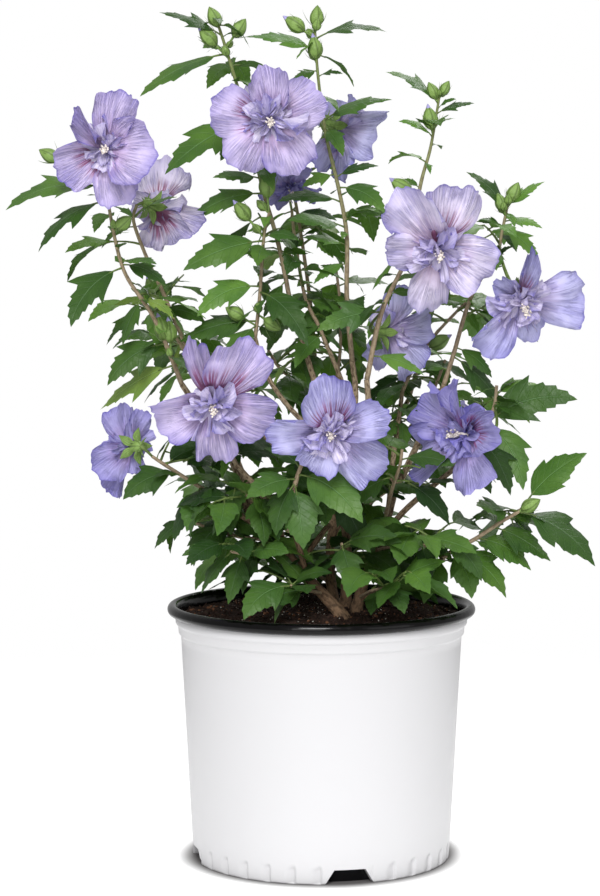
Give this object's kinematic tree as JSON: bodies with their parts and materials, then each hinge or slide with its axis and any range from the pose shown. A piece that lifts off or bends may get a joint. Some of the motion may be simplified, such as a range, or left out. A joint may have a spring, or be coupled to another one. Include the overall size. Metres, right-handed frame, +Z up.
{
  "type": "potted rose of sharon shrub",
  "caption": "Flowering shrub with several stems, lobed leaves, buds and double lavender flowers, standing in a round filled nursery pot.",
  "frame": {"origin": "centre of the pot's flat underside", "axes": "+Z up, -Y towards the front, +X to the right seen from the front"},
  "size_m": [0.5228, 0.3615, 0.7703],
  "materials": {
    "pot": "satin white moulded plastic",
    "lip": "satin black moulded plastic",
    "soil": "crumbly dark potting compost",
    "bark": "thin olive brown bark",
    "foliage": "satin green leaves",
    "petals": "soft lavender petals"
  },
  "bodies": {
    "root": {"pot": "pot", "pot_lip": "lip", "soil": "soil", "trunk_left": "bark", "trunk_center": "bark", "trunk_right": "bark", "trunk_back": "bark", "cut_stub": "bark", "bough_far_left": "bark", "bough_left": "bark", "bough_low_left": "bark", "bough_front_left": "bark", "bough_front": "bark", "bough_inner_left": "bark", "bough_top_left": "bark", "bough_middle": "bark", "bough_top": "bark", "bough_right_front": "bark", "bough_right_back": "bark", "bough_right": "bark", "bough_low_right": "bark", "bough_lower_right": "bark", "bough_back_left": "bark", "bough_back": "bark", "bough_back_right": "bark", "shoot_far_left": "foliage", "shoot_left": "foliage", "shoot_low_left": "foliage", "shoot_front_left": "foliage", "shoot_front": "foliage", "shoot_inner_left": "foliage", "shoot_top_left": "foliage", "shoot_middle": "foliage", "shoot_top": "foliage", "shoot_top_right": "foliage", "shoot_right_back": "foliage", "shoot_right": "foliage", "shoot_low_right": "foliage", "shoot_lower_right": "foliage", "shoot_back_left": "foliage", "shoot_back_top": "foliage", "shoot_back_middle": "foliage", "shoot_back_right": "foliage", "shoot_back_low_left": "foliage", "shoot_back_low_right": "foliage", "skirt_back": "foliage", "skirt_back_left": "foliage", "skirt_back_right": "foliage", "skirt_left_front": "foliage", "skirt_left": "foliage", "skirt_front": "foliage", "skirt_middle": "foliage", "skirt_right_front": "foliage", "skirt_right": "foliage", "inner_left": "foliage", "inner_middle": "foliage", "inner_right": "foliage", "inner_back_left": "foliage", "inner_back_right": "foliage", "inner_back_top": "foliage"}
  },
  "joints": []
}
